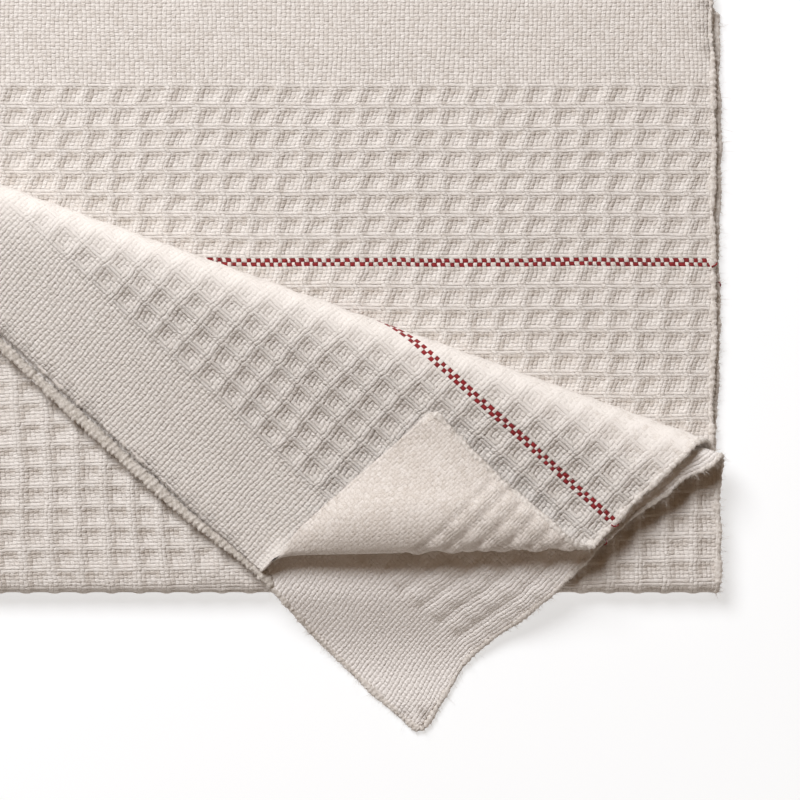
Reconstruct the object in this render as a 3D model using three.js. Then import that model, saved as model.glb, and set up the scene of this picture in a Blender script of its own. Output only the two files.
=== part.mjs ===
import * as THREE from 'three';

// A waffle-weave floor cloth, folded in quarters. Its upper two layers are folded over a slanting
// line, and the corner of the topmost layer is turned up in a roll.
// All sizes are in millimetres. X runs to the right, Y to the back and Z up.
//
// The cloth is described laid flat by u, across its width, and v, along its length. The half with
// u above the middle becomes the inner layers, and the other half the outer layers. Every point is
// carried through the folds one after the other: side fold, end fold, flap fold, then the roll.

// The cloth laid flat
const CLOTH = { width: 700, length: 491, thickness: 3 };
const LAYER_PITCH = 3.6;

// The first fold, along the middle of the width. The layers shift along it within shearReach.
const SIDE_FOLD = { radius: LAYER_PITCH / 2, at: CLOTH.width / 2, x: -213.5, shearReach: 34 };

// The second fold, across the length. A layer's first part, up to the fold, is its lower one.
const END_FOLD = { radius: LAYER_PITCH, y: -75.9, innerLength: 252.3, outerLength: 246 };

// The slanting fold of the upper two layers. Its visible edge runs through the point given.
const FLAP_FOLD = {
  x: -168,
  y: 91.7,
  slope: -0.3613,
  radius: 6.6,
  openRadius: 7.8,
  openFrom: 200,
  openTo: 316,
  settle: 75,
  openSettle: 110,
};

// The upper layers lie turned a little against the lower ones, about a pivot on the end fold.
const TWIST = { angle: 0.054, from: -60, to: 130, pivot: 209, slide: 0.06 };

// How far the cloth is stretched along its length, by the distance t beyond the end fold
const STRETCH = [
  { t: 0, inner: 0, outer: 0 },
  { t: 60, inner: -2.8, outer: 0 },
  { t: 112, inner: -2.4, outer: 1.6 },
  { t: 190, inner: -4.7, outer: -1.4 },
  { t: 232, inner: -5.2, outer: -1.6 },
];

// How far each layer's right-hand edge lies from its even line, by the same distance t
const EDGE_SHIFT = [
  { t: -260, inner: 0, outer: 3 },
  { t: -20, inner: 0, outer: 1 },
  { t: 25, inner: 0, outer: 2.8 },
  { t: 58, inner: 0.6, outer: 5.6 },
  { t: 74, inner: -1.2, outer: 1 },
  { t: 100, inner: -1.7, outer: -3.4 },
  { t: 150, inner: -2.6, outer: -5 },
  { t: 185, inner: -1.4, outer: -8 },
  { t: 232, inner: 0, outer: -2 },
];

// Where the bottom layer's cloth sags towards the end fold at its right-hand edge
const LOWER_SAG = { depth: 3, reach: 80 };

// Where the far end is pulled in: at the topmost layer's corner, and in a dent of the second layer
const CORNER_PULL = { depth: 6.3, sFrom: 230, sTo: 335, tFrom: 150, tTo: 230 };
const END_DENT = { depth: 4.6, s: 250, reach: 34, tFrom: 190, tTo: 226 };

// The turned-up corner of the topmost layer, between its left and right ends. Its front edge runs
// along edgeY and dips at the left end. The roll is fullest in the middle, and entrySize and size
// are its shares at the ends. The cloth that is turned over leans to the left, and its left end is
// gathered to the right.
const ROLL = {
  left: -55,
  right: 77,
  edgeY: -65.8,
  slope: 0.022,
  entrySize: 0.6,
  size: 0.3,
  fullness: 0.5,
  dip: 3.6,
  dipReach: 4,
  lean: 0.025,
  gather: 0.15,
  gatherTo: -12,
  gatherReach: 14,
};

// The roll's section at its fullest: the cloth lifts, turns over and runs back to the tip.
const ROLL_ENTRY = { length: 10, turn: 0.5 };
const ROLL_TURN = { length: 14, turn: 1.9 };
const ROLL_BACK = { length: 22, turn: 1.2 };
const ROLL_TIP = { length: 30, turn: -0.4 };

// The second layer's corner reaches past the stack and comes down to the floor in an S
const DROP = { y: -74, turn: 0.49, entry: 12, exit: 24 };

// The flap's left end hangs over the side of the stack
const OVERHANG = { x: -216, bend: 0.012 };

// Low swells, which come in above the lower layers and behind the corner's way down
const SWELL_RANGE = { zFrom: 8, zTo: 20, yFrom: DROP.y - 10, yTo: DROP.y + 30 };
const SWELLS = [
  { height: 0.35, alongX: 0.021, alongY: 0.034, phase: 0.6 },
  { height: 0.25, alongX: -0.043, alongY: 0.017, phase: 2.1 },
];

// The mesh: even steps in each stretch of the cloth, closer in the corners that are rolled or draped
const STEPS = { side: 4, plain: 10, corner: 14, lower: 6, endFold: 5, between: 4, flapFold: 6 };
const CORNER = { size: 91, rowsBefore: 3, fullRoom: 115 };

// Where a column of the mesh is looked at to find its place along the flap fold
const COLUMN_PROBE = CLOTH.length * 0.8;

// Numeric limits: how straight an arc may be, the step of a slope, and the search for a row
const STRAIGHT = 1e-9;
const SLOPE_STEP = 0.02;
const SEARCH = { highest: CLOTH.length * 1.2, halvings: 40 };

const MATERIAL = { name: 'undyed cotton', color: 0xe6dfd3, roughness: 0.95, metalness: 0 };

const HALF_THICKNESS = CLOTH.thickness / 2;
const PAIR_HEIGHT = LAYER_PITCH / 2 + HALF_THICKNESS;
const SIDE_ARC = SIDE_FOLD.radius * Math.PI / 2;
const SIDE_LENGTH = CLOTH.width / 2 - SIDE_ARC;
const UPPER_HEIGHT = PAIR_HEIGHT + 2 * END_FOLD.radius;
const FLAP_ALONG = new THREE.Vector2(1, FLAP_FOLD.slope).normalize();
const FLAP_ACROSS = new THREE.Vector2(-FLAP_ALONG.y, FLAP_ALONG.x);

function smooth(from, to, value) {
  return THREE.MathUtils.smoothstep(value, from, to);
}

function mix(from, to, share) {
  return THREE.MathUtils.lerp(from, to, share);
}

// Reads a column of a table at t, with a smooth run between the rows.
function readTable(table, t, column) {
  const last = table.length - 1;
  if (t <= table[0].t) return table[0][column];
  if (t >= table[last].t) return table[last][column];
  const next = table.findIndex((row) => row.t > t);
  const before = table[next - 1];
  const after = table[next];
  return mix(before[column], after[column], smooth(before.t, after.t, t));
}

function readBoth(table, t, outer) {
  return mix(readTable(table, t, 'inner'), readTable(table, t, 'outer'), outer);
}

// Follows a chain of arcs that starts level. Each arc has a length and a turn in radians.
function followArcs(arcs, travel) {
  let forward = 0;
  let up = 0;
  let heading = 0;
  let rest = travel;
  for (const arc of arcs) {
    const step = Math.min(rest, arc.length);
    const bend = arc.turn / arc.length;
    if (Math.abs(bend) < STRAIGHT) {
      forward += step * Math.cos(heading);
      up += step * Math.sin(heading);
    } else {
      const next = heading + bend * step;
      forward += (Math.sin(next) - Math.sin(heading)) / bend;
      up += (Math.cos(heading) - Math.cos(next)) / bend;
      heading = next;
    }
    rest -= step;
    if (rest <= 0) break;
  }
  return { forward, up };
}

// The side fold: s is the distance from the fold, offset is towards the outer layers, and outer is
// 1 in the outer half of the cloth and 0 in the inner half.
function sideFold(u) {
  const across = u - SIDE_FOLD.at;
  const outer = 1 - smooth(-SIDE_FOLD.shearReach, SIDE_FOLD.shearReach, across);
  if (Math.abs(across) >= SIDE_ARC) {
    return { s: Math.abs(across) - SIDE_ARC, offset: -Math.sign(across) * SIDE_FOLD.radius, outer };
  }
  const angle = across / SIDE_FOLD.radius;
  const s = -SIDE_FOLD.radius * Math.cos(angle);
  return { s, offset: -SIDE_FOLD.radius * Math.sin(angle), outer };
}

function endFoldStart(outer) {
  return mix(END_FOLD.innerLength, END_FOLD.outerLength, outer);
}

function endFoldRadius(outer) {
  return END_FOLD.radius + mix(-SIDE_FOLD.radius, SIDE_FOLD.radius, outer);
}

// How far the far end is pulled in towards the folds
function pulledEnd(side, t) {
  const corner = smooth(CORNER_PULL.sFrom, CORNER_PULL.sTo, side.s)
    * smooth(CORNER_PULL.tFrom, CORNER_PULL.tTo, t);
  const fromDent = (side.s - END_DENT.s) / END_DENT.reach;
  const dent = Math.exp(-fromDent * fromDent) * smooth(END_DENT.tFrom, END_DENT.tTo, t);
  return mix(CORNER_PULL.depth * corner, END_DENT.depth * dent, side.outer);
}

// The cloth in its own plane, with its twist, stretch and uneven edges. The result's w is the
// distance beyond the start of the end fold, which is below zero in the lower layers.
function layOut(side, v) {
  const w = v - endFoldStart(side.outer);
  const t = w - Math.PI * endFoldRadius(side.outer);
  const edge = (Math.max(side.s, 0) / SIDE_LENGTH) ** 2;
  const turn = TWIST.angle * smooth(TWIST.from, TWIST.to, t);
  const sag = LOWER_SAG.depth * smooth(0, LOWER_SAG.reach, -w) * edge * side.outer;
  const slide = TWIST.slide * Math.max(t, 0);
  return {
    s: side.s - slide + readBoth(EDGE_SHIFT, t, side.outer) * edge,
    w: w + turn * (side.s - TWIST.pivot) + readBoth(STRETCH, t, side.outer) + sag
      - pulledEnd(side, t),
  };
}

// How far a point of the upper layers lies beyond the start of the flap fold, along the cloth
function flapFrame(x, y) {
  const fromX = x - FLAP_FOLD.x;
  const fromY = y - FLAP_FOLD.y;
  const along = fromX * FLAP_ALONG.x + fromY * FLAP_ALONG.y;
  const across = fromX * FLAP_ACROSS.x + fromY * FLAP_ACROSS.y;
  const open = smooth(FLAP_FOLD.openFrom, FLAP_FOLD.openTo, along);
  const radius = mix(FLAP_FOLD.radius, FLAP_FOLD.openRadius, open);
  const start = -(radius + SIDE_FOLD.radius + HALF_THICKNESS);
  return { along, open, radius, start, beyond: across - start };
}

function flapPoint(frame, across, z) {
  const x = FLAP_FOLD.x + frame.along * FLAP_ALONG.x + across * FLAP_ACROSS.x;
  const y = FLAP_FOLD.y + frame.along * FLAP_ALONG.y + across * FLAP_ACROSS.y;
  return new THREE.Vector3(x, y, z);
}

// The flap settles from the height of its fold to the height of a flat stack.
function settledLift(frame, distance) {
  const lift = 2 * (frame.radius - END_FOLD.radius);
  const reach = mix(FLAP_FOLD.settle, FLAP_FOLD.openSettle, frame.open);
  return lift * (1 - smooth(0, reach, distance));
}

function flapFold(x, y, side) {
  const frame = flapFrame(x, y);
  const clothRadius = frame.radius + mix(SIDE_FOLD.radius, -SIDE_FOLD.radius, side.outer);
  const radius = frame.radius - side.offset;
  const centre = UPPER_HEIGHT + frame.radius;
  const angle = frame.beyond / clothRadius;
  if (angle < Math.PI) {
    const across = frame.start + radius * Math.sin(angle);
    return flapPoint(frame, across, centre - radius * Math.cos(angle));
  }
  const distance = frame.beyond - Math.PI * clothRadius;
  const level = UPPER_HEIGHT + 2 * END_FOLD.radius - side.offset;
  const point = flapPoint(frame, frame.start - distance, level + settledLift(frame, distance));
  hangOver(point);
  if (side.outer > 0.5) {
    dropToFloor(point);
  } else {
    rollCorner(point);
  }
  return point;
}

function hangOver(point) {
  const past = Math.max(OVERHANG.x - point.x, 0);
  point.z -= OVERHANG.bend * past * past;
}

// The S in which the second layer comes down, with a straight run that makes up the height
function dropArcs() {
  const turn = DROP.turn;
  const height = UPPER_HEIGHT + 2 * END_FOLD.radius - SIDE_FOLD.radius - HALF_THICKNESS;
  const bends = (1 - Math.cos(turn)) * (DROP.entry + DROP.exit) / turn;
  return [
    { length: DROP.entry, turn: -turn },
    { length: (height - bends) / Math.sin(turn), turn: 0 },
    { length: DROP.exit, turn },
    { length: CLOTH.length, turn: 0 },
  ];
}

const DROP_ARCS = dropArcs();

function dropToFloor(point) {
  if (point.y >= DROP.y) return;
  const run = followArcs(DROP_ARCS, DROP.y - point.y);
  point.y = DROP.y - run.forward;
  point.z += run.up;
}

function scaled(arc, share) {
  return { length: arc.length * share, turn: arc.turn };
}

// The roll's section at x, from where the cloth starts to lift
function rollArcs(x) {
  const along = THREE.MathUtils.clamp((x - ROLL.left) / (ROLL.right - ROLL.left), 0, 1);
  const full = Math.sin(Math.PI * along) ** ROLL.fullness;
  const size = mix(ROLL.size, 1, full);
  return [
    scaled(ROLL_ENTRY, mix(ROLL.entrySize, 1, full)),
    scaled(ROLL_TURN, size),
    scaled(ROLL_BACK, size),
    ROLL_TIP,
    { length: CLOTH.length, turn: 0 },
  ];
}

// The furthest reach of the roll's section, where the cloth stands upright
function rollReach(arcs) {
  const upright = (Math.PI / 2 - ROLL_ENTRY.turn) / ROLL_TURN.turn;
  return followArcs(arcs, arcs[0].length + arcs[1].length * upright).forward + HALF_THICKNESS;
}

function rollCorner(point) {
  const arcs = rollArcs(point.x);
  const dip = ROLL.dip * Math.exp((ROLL.left - point.x) / ROLL.dipReach);
  const edge = ROLL.edgeY + ROLL.slope * (point.x - ROLL.left) - dip;
  const start = edge + rollReach(arcs);
  const travel = start - point.y;
  if (travel <= 0) return;
  const run = followArcs(arcs, travel);
  const turned = travel - run.forward;
  const gathered = ROLL.gather * Math.min(point.x - ROLL.gatherTo, 0);
  point.x -= gathered * smooth(0, ROLL.gatherReach, turned) + ROLL.lean * turned;
  point.y = start - run.forward;
  point.z += run.up;
}

function swell(point) {
  const share = smooth(SWELL_RANGE.zFrom, SWELL_RANGE.zTo, point.z)
    * smooth(SWELL_RANGE.yFrom, SWELL_RANGE.yTo, point.y);
  for (const wave of SWELLS) {
    const phase = wave.alongX * point.x + wave.alongY * point.y + wave.phase;
    point.z += wave.height * share * Math.sin(phase);
  }
  return point;
}

// The middle of the cloth's thickness, where the point (u, v) of the flat cloth ends up
function place(u, v) {
  const side = sideFold(u);
  const flat = layOut(side, v);
  const x = SIDE_FOLD.x + flat.s;
  if (flat.w <= 0) {
    return swell(new THREE.Vector3(x, END_FOLD.y - flat.w, PAIR_HEIGHT - side.offset));
  }
  const clothRadius = endFoldRadius(side.outer);
  const angle = flat.w / clothRadius;
  if (angle < Math.PI) {
    const radius = END_FOLD.radius + side.offset;
    const y = END_FOLD.y - radius * Math.sin(angle);
    const z = PAIR_HEIGHT + END_FOLD.radius - radius * Math.cos(angle);
    return swell(new THREE.Vector3(x, y, z));
  }
  const y = END_FOLD.y + flat.w - Math.PI * clothRadius;
  if (flapFrame(x, y).beyond <= 0) {
    return swell(new THREE.Vector3(x, y, UPPER_HEIGHT + side.offset));
  }
  return swell(flapFold(x, y, side));
}

// The cloth's face direction, from the slopes of its middle surface
function faceDirection(u, v) {
  const alongU = place(u + SLOPE_STEP, v).sub(place(u - SLOPE_STEP, v));
  const alongV = place(u, v + SLOPE_STEP).sub(place(u, v - SLOPE_STEP));
  return alongV.cross(alongU).normalize();
}

// The distance beyond the start of the end fold, at the point (u, v)
function pastEndFold(u, v) {
  return layOut(sideFold(u), v).w;
}

// The distance beyond the start of the flap fold, at the point (u, v)
function pastFlapFold(u, v) {
  const side = sideFold(u);
  const flat = layOut(side, v);
  const y = END_FOLD.y + flat.w - Math.PI * endFoldRadius(side.outer);
  return flapFrame(SIDE_FOLD.x + flat.s, y).beyond;
}

// Finds the v at which a rising measure reaches the wanted value.
function solveV(measure, u, wanted) {
  let low = 0;
  let high = SEARCH.highest;
  for (let turn = 0; turn < SEARCH.halvings; turn += 1) {
    const middle = (low + high) / 2;
    if (measure(u, middle) < wanted) low = middle;
    else high = middle;
  }
  return (low + high) / 2;
}

function evenSteps(from, to, count) {
  return Array.from({ length: count + 1 }, (_, k) => mix(from, to, k / count));
}

// Joins runs of stations that share their end values.
function chain(...runs) {
  return runs.flatMap((run, k) => (k === 0 ? run : run.slice(1)));
}

function columnStations() {
  const innerRun = evenSteps(0, CORNER.size, STEPS.corner);
  const outerRun = evenSteps(CORNER.size, SIDE_LENGTH, STEPS.plain);
  const left = chain(innerRun, outerRun);
  const right = left.map((u) => CLOTH.width - u).reverse();
  const around = evenSteps(SIDE_LENGTH, CLOTH.width - SIDE_LENGTH, STEPS.side);
  return chain(left, around, right);
}

// The rows of the flap run with its end, and close up where the flap is short.
function flapRows(start) {
  const room = CLOTH.length - start;
  const size = CORNER.size * Math.min(1, room / CORNER.fullRoom);
  const before = evenSteps(start, CLOTH.length - size, CORNER.rowsBefore);
  return chain(before, evenSteps(CLOTH.length - size, CLOTH.length, STEPS.corner));
}

function rowStations(u) {
  const outer = sideFold(u).outer;
  const frame = flapFrame(place(u, COLUMN_PROBE).x, 0);
  const endStart = solveV(pastEndFold, u, 0);
  const endStop = solveV(pastEndFold, u, Math.PI * endFoldRadius(outer));
  const flapStart = solveV(pastFlapFold, u, 0);
  const clothRadius = frame.radius + mix(SIDE_FOLD.radius, -SIDE_FOLD.radius, outer);
  const flapStop = solveV(pastFlapFold, u, Math.PI * clothRadius);
  return chain(
    evenSteps(0, endStart, STEPS.lower),
    evenSteps(endStart, endStop, STEPS.endFold),
    evenSteps(endStop, flapStart, STEPS.between),
    evenSteps(flapStart, flapStop, STEPS.flapFold),
    flapRows(flapStop),
  );
}

// Both faces of the cloth and the walls along its four edges, as one closed body
function clothGeometry() {
  const columns = columnStations().map((u) => rowStations(u).map((v) => ({ u, v })));
  const rowCount = columns[0].length;
  const points = columns.flat();
  const layerSize = points.length;
  const positions = [];
  for (const towards of [1, -1]) {
    for (const { u, v } of points) {
      const direction = faceDirection(u, v).multiplyScalar(towards * HALF_THICKNESS);
      positions.push(...place(u, v).add(direction).toArray());
    }
  }
  const faces = [];
  const upper = (column, row) => column * rowCount + row;
  const lower = (column, row) => upper(column, row) + layerSize;
  addSkins(faces, columns, rowCount, upper, lower);
  addWalls(faces, columns.length, rowCount, upper, lower);
  const geometry = new THREE.BufferGeometry();
  geometry.setAttribute('position', new THREE.Float32BufferAttribute(positions, 3));
  geometry.setIndex(faces);
  geometry.computeVertexNormals();
  return geometry;
}

function addQuad(faces, a, b, c, d) {
  faces.push(a, b, c, a, c, d);
}

// Each quad is split along the direction of the roll or of the drop in its half of the cloth.
function addSkins(faces, columns, rowCount, upper, lower) {
  for (let column = 0; column < columns.length - 1; column += 1) {
    const inner = columns[column][0].u >= SIDE_FOLD.at;
    for (let row = 0; row < rowCount - 1; row += 1) {
      for (const [at, flipped] of [[upper, true], [lower, false]]) {
        const corners = [
          at(column, row),
          at(column + 1, row),
          at(column + 1, row + 1),
          at(column, row + 1),
        ];
        if (inner) corners.push(corners.shift());
        if (flipped) corners.reverse();
        if (flipped) corners.unshift(corners.pop());
        addQuad(faces, ...corners);
      }
    }
  }
}

function addWalls(faces, columnCount, rowCount, upper, lower) {
  for (let column = 0; column < columnCount - 1; column += 1) {
    const end = rowCount - 1;
    addQuad(faces, upper(column, 0), upper(column + 1, 0), lower(column + 1, 0), lower(column, 0));
    addQuad(
      faces, upper(column + 1, end), upper(column, end), lower(column, end), lower(column + 1, end),
    );
  }
  for (let row = 0; row < rowCount - 1; row += 1) {
    const end = columnCount - 1;
    addQuad(faces, upper(0, row + 1), upper(0, row), lower(0, row), lower(0, row + 1));
    addQuad(faces, upper(end, row), upper(end, row + 1), lower(end, row + 1), lower(end, row));
  }
}

// Puts the origin under the middle of the cloth's bounding box.
function centre(geometry) {
  geometry.computeBoundingBox();
  const { min, max } = geometry.boundingBox;
  geometry.translate(-(min.x + max.x) / 2, -(min.y + max.y) / 2, 0);
}

function floorCloth() {
  const geometry = clothGeometry();
  centre(geometry);
  const mesh = new THREE.Mesh(geometry, new THREE.MeshStandardMaterial(MATERIAL));
  mesh.name = 'floor_cloth';
  return mesh;
}

const part = new THREE.Group();
part.add(floorCloth());

export default part;
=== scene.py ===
import math

import bpy
import numpy as np
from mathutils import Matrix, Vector


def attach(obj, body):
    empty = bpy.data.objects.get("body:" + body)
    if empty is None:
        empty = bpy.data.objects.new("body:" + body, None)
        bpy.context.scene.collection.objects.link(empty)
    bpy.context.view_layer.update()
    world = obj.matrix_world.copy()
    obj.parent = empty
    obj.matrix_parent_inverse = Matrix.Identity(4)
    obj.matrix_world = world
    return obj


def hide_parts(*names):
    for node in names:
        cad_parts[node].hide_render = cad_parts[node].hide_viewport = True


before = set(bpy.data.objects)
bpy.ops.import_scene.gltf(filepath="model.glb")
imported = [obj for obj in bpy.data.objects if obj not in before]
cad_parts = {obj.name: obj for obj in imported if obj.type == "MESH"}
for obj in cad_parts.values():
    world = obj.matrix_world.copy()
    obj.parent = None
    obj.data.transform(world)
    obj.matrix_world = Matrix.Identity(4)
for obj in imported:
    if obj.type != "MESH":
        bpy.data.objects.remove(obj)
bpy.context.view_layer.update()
MM = 0.001

# The cloth laid flat, in millimetres: u runs across its width and v along its length.
WIDTH, LENGTH = 700.0, 491.0

# Where named places lie along u and v, in threads and in millimetres: edges, bands and stripes
END_PLACES = ((0, 0), (6, 10.7), (354, 689.3), (360, WIDTH))
PICK_PLACES = (
    (0, 0), (27, 42), (75, 116), (77, 119.7),
    (238, 371.3), (240, 375), (288, 449), (315, LENGTH),
)
ENDS, PICKS = END_PLACES[-1][0], PICK_PLACES[-1][0]
SIDE_FOLD_END = ENDS / 2
BAND_PICKS = 27
FIRST_STRIPE, SECOND_STRIPE = 75, 238
MARGIN_ENDS = 2
STRIPE_MARGIN = 1
CELL = 6
CELL_MIDDLE = 3

# The folds, as in the solid
LAYER_PITCH = 3.6
HALF_THICKNESS = 1.5
CENTRE = (-54.9152, 16.6339)
SIDE_RADIUS, SIDE_AT, SIDE_X, SHEAR_REACH = LAYER_PITCH / 2, WIDTH / 2, -213.5, 34.0
END_RADIUS, END_Y, INNER_LENGTH, OUTER_LENGTH = LAYER_PITCH, -75.9, 252.3, 246.0
FLAP = dict(x=-168, y=91.7, slope=-0.3613, radius=6.6, open_radius=7.8, open_from=200,
            open_to=316, settle=75, open_settle=110)
TWIST = dict(angle=0.054, start=-60, stop=130, pivot=209, slide=0.06)
STRETCH_T = (0, 60, 112, 190, 232)
STRETCH_INNER = (0, -2.8, -2.4, -4.7, -5.2)
STRETCH_OUTER = (0, 0, 1.6, -1.4, -1.6)
SHIFT_T = (-260, -20, 25, 58, 74, 100, 150, 185, 232)
SHIFT_INNER = (0, 0, 0, 0.6, -1.2, -1.7, -2.6, -1.4, 0)
SHIFT_OUTER = (3, 1, 2.8, 5.6, 1, -3.4, -5, -8, -2)
LOWER_SAG = dict(depth=3, reach=80)
CORNER_PULL = dict(depth=6.3, s_from=230, s_to=335, t_from=150, t_to=230)
END_DENT = dict(depth=4.6, s=250, reach=34, t_from=190, t_to=226)
ROLL = dict(left=-55, right=77, edge_y=-65.8, slope=0.022, entry_size=0.6, size=0.3, fullness=0.5,
            dip=3.6, dip_reach=4, lean=0.025, gather=0.15, gather_to=-12, gather_reach=14)
ROLL_ENTRY, ROLL_TURN, ROLL_BACK, ROLL_TIP = (10, 0.5), (14, 1.9), (22, 1.2), (30, -0.4)
DROP = dict(y=-74, turn=0.49, entry=12, exit=24)
OVERHANG = dict(x=-216, bend=0.012)
SWELLS = ((0.35, 0.021, 0.034, 0.6), (0.25, -0.043, 0.017, 2.1))
SWELL_FROM_FLOOR, SWELL_FROM_DROP = (8, 20), (-10, 30)
PAIR_HEIGHT = LAYER_PITCH / 2 + HALF_THICKNESS
UPPER_HEIGHT = PAIR_HEIGHT + 2 * END_RADIUS
SIDE_ARC = SIDE_RADIUS * math.pi / 2
SIDE_LENGTH = WIDTH / 2 - SIDE_ARC
FLAP_NORM = math.hypot(1, FLAP["slope"])
ALONG_X, ALONG_Y = 1 / FLAP_NORM, FLAP["slope"] / FLAP_NORM

# The relief of loose cloth: heights by distance from a cell's middle in ends (rows) and picks (columns)
LOOSE_RELIEF = np.array((
    (-1.18, -0.84, -0.12, 0.91),
    (-0.82, -0.65, 0.03, 1.02),
    (-0.08, 0.03, 0.34, 1.14),
    (0.99, 0.99, 0.96, 1.23),
))

# The relief of pressed cloth: its cells' heights by pick, from a ridge on, and its ribs' share by end
PRESSED_CELL = np.array((0.24, -0.5, -0.68, -0.68, -0.56, -0.14))
RIB_SHARE = np.array((1.0, 0.12, 0.0, 0.0, 0.12, 1.0))
RIB_HEIGHT = 0.9
INNER_SHARE = 0.78

# How much painted shade pressed cloth gets in the lee of a ridge, by pick, and beside a rib; below 0 it is
# a painted highlight on the ridge
HOLLOW_SHADE_CELL = np.array((-0.25, 1.0, 0.5, 0.1, 0.0, -0.15))
RIB_LEE_SHADE = 0.75

# Where the relief rises to its full height: from an edge in ends, from a band and a stripe in picks
RISE_FROM_EDGE = (0.6, 2.2)
RISE_FROM_BAND = (-0.8, 0.6)
RISE_FROM_STRIPE = (0.9, 1.9)

# Where the folds, the roll and the flap's weight draw or press the relief flatter, and by how much
FLAP_FROM, FLAP_REACH = 330, 30
ROLL_FROM, COVER_FROM = (380, 400), (330, 360)
ROLL_TILT = (-0.2, 0.7)
FLAP_BEND_RISE, FLAP_BEND_FALL = (-6, 4), (-2, 22)
END_BEND_RISE, END_BEND_FALL = (-4, 0), (0, 8)
FLAP_BEND_LOSS, END_BEND_LOSS, ROLL_LOSS, COVER_LOSS = 0.75, 0.62, 0.3, 0.4

# The mesh: half the sheet's thickness under its relief, and its lines gathered in blocks of a cell each
SKIN = 0.5
END_BLOCKS = np.cumsum([0, 7] + [6] * 59)
PICK_BLOCKS = np.cumsum([0, 6, 6, 6, 5, 5] + [6] * 8 + [7] + [6] * 26 + [7] + [6] * 7 + [5, 5, 6, 6, 6])
FLAT_SAG = 0.1
DIRECTION_STEP = 0.05

# A place is seen if it lies near the top or bottom of its square of a grid, or if it isn't level.
SEEN_GRID, SEEN_DEPTH, LEVEL = 3.0, 1.6, 0.93

# The maps: threads to a unit, the flat cloth's size on the baking map, and the strips for its edges
THREADS_MAP = 400.0
ATLAS, ATLAS_GAP, ATLAS_MARGIN = 990.0, 4, 0.002
WALL_SLOT, WALL_STRIP, WALL_COLUMN, WALL_WIDTH = 2, 0.73, 0.02, 0.006

# How the threads lean over a cell, in the outer layers and up to a pick in the inner ones, and how
# they wander in the cloth's own plane, in millimetres
LEAN_OUTER, LEAN_INNER, LEAN_INNER_PICKS = -0.1, 0.46, 150
WANDER = (
    (0.45, 0.071, 0.023, 0.4),
    (0.35, -0.031, 0.094, 1.9),
    (0.22, 0.163, -0.127, 3.1),
    (0.16, 0.31, 0.27, 5.0),
)
WANDER_ALONG = 0.35
CORNER_RADIUS = 5.0

# The end of the flap's lower layer is drawn back and lifted. Beside the roll, the upper layer's
# selvage is lifted.
UNDER_END = dict(u_rise=(60, 110), u_fall=(330, SIDE_AT), back=3.2, back_reach=25, lift=2.4, lift_reach=9)
SELVAGE_LIFT = dict(height=2.2, reach=26, v_rise=(310, 335), v_fall=(395, 425))

# The yarns, in shares of the space between two threads
WARP = dict(half_width=0.54, thickness=0.62, bend=0.26)
WEFT = dict(half_width=0.45, thickness=0.42, bend=0.32)
PLAIN_BEND = 0.95

# How each face of the cloth looks: its side, its relief's firmness, the depth of the painted shade
# between its yarns, and its lightness. The second number of a pair is added where the cloth lies loose.
# Face B gets a lighter colour and lightness than face A, a painted lightening, and the rolled corner,
# where face B lies loose, is painted darker, a painted shade.
FACE = dict(side=1, firmness=(0.6, 0.46), depth=(0.8, 0.35), light=(1.09, -0.06), band_shade=0.05,
            bump=0.0014, colour=(0.83, 0.770, 0.712))
BACK = dict(side=-1, firmness=(0.8, -0.3), depth=(0.7, 0.0), light=(1.36, -0.7), band_shade=0.0,
            bump=0.0011, colour=(0.945, 0.883, 0.83))
UNEVEN_SHADE, UNEVEN_RELIEF = (0.3, -0.12), (0.4, -0.18)
SWAY_GRAIN, FIBRE_GRAIN, BLOTCH_GRAIN = (0.45, 1.0), (2.6, 3.0, 0.6), (0.11, 2.0)
SWAY_U, SWAY_V, FIBRE_RELIEF, BUMP_STRENGTH = 0.55, 0.22, 0.75, 0.95
COTTON_SHADE = (0.37, 0.29, 0.215)
COTTON_BLOTCH = (0.86, 0.79, 0.73)
# How strongly each mark changes the cloth's lightness: painted shade between the yarns, the fibres' random
# tone, a painted highlight along the flap's fold, painted shade and highlight in the pressed cells, and
# blotches
SHADING = dict(painted_gap_shade=0.7, fibres=1.1, drawn=0.1, hollow_shade=0.34, blotches=0.2)
FIRMNESS_LOSS = dict(drawn=0.8, band=0.2)
RED_LOOK = dict(share=0.97, least=-0.62, uneven=0.8, relief=0.7, fibres=1.2, shade=0.3)
RED_YARN, RED_SHADE = (0.36, 0.001, 0.006), (0.13, 0.0, 0.003)
EDGE_DARK, EDGE_LIGHT = (0.58, 0.52, 0.46), (0.80, 0.745, 0.69)
# The roll under the flap's upper layer is painted darker than the other edges: a painted shadow of that
# layer
SHADOWED_HEM_DARK, SHADOWED_HEM_LIGHT = (0.42, 0.37, 0.315), (0.70, 0.645, 0.585)
FUZZ_GRAIN, FUZZ_BUMP = (900.0, 3.0, 0.6), (0.6, 0.0006)

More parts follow.
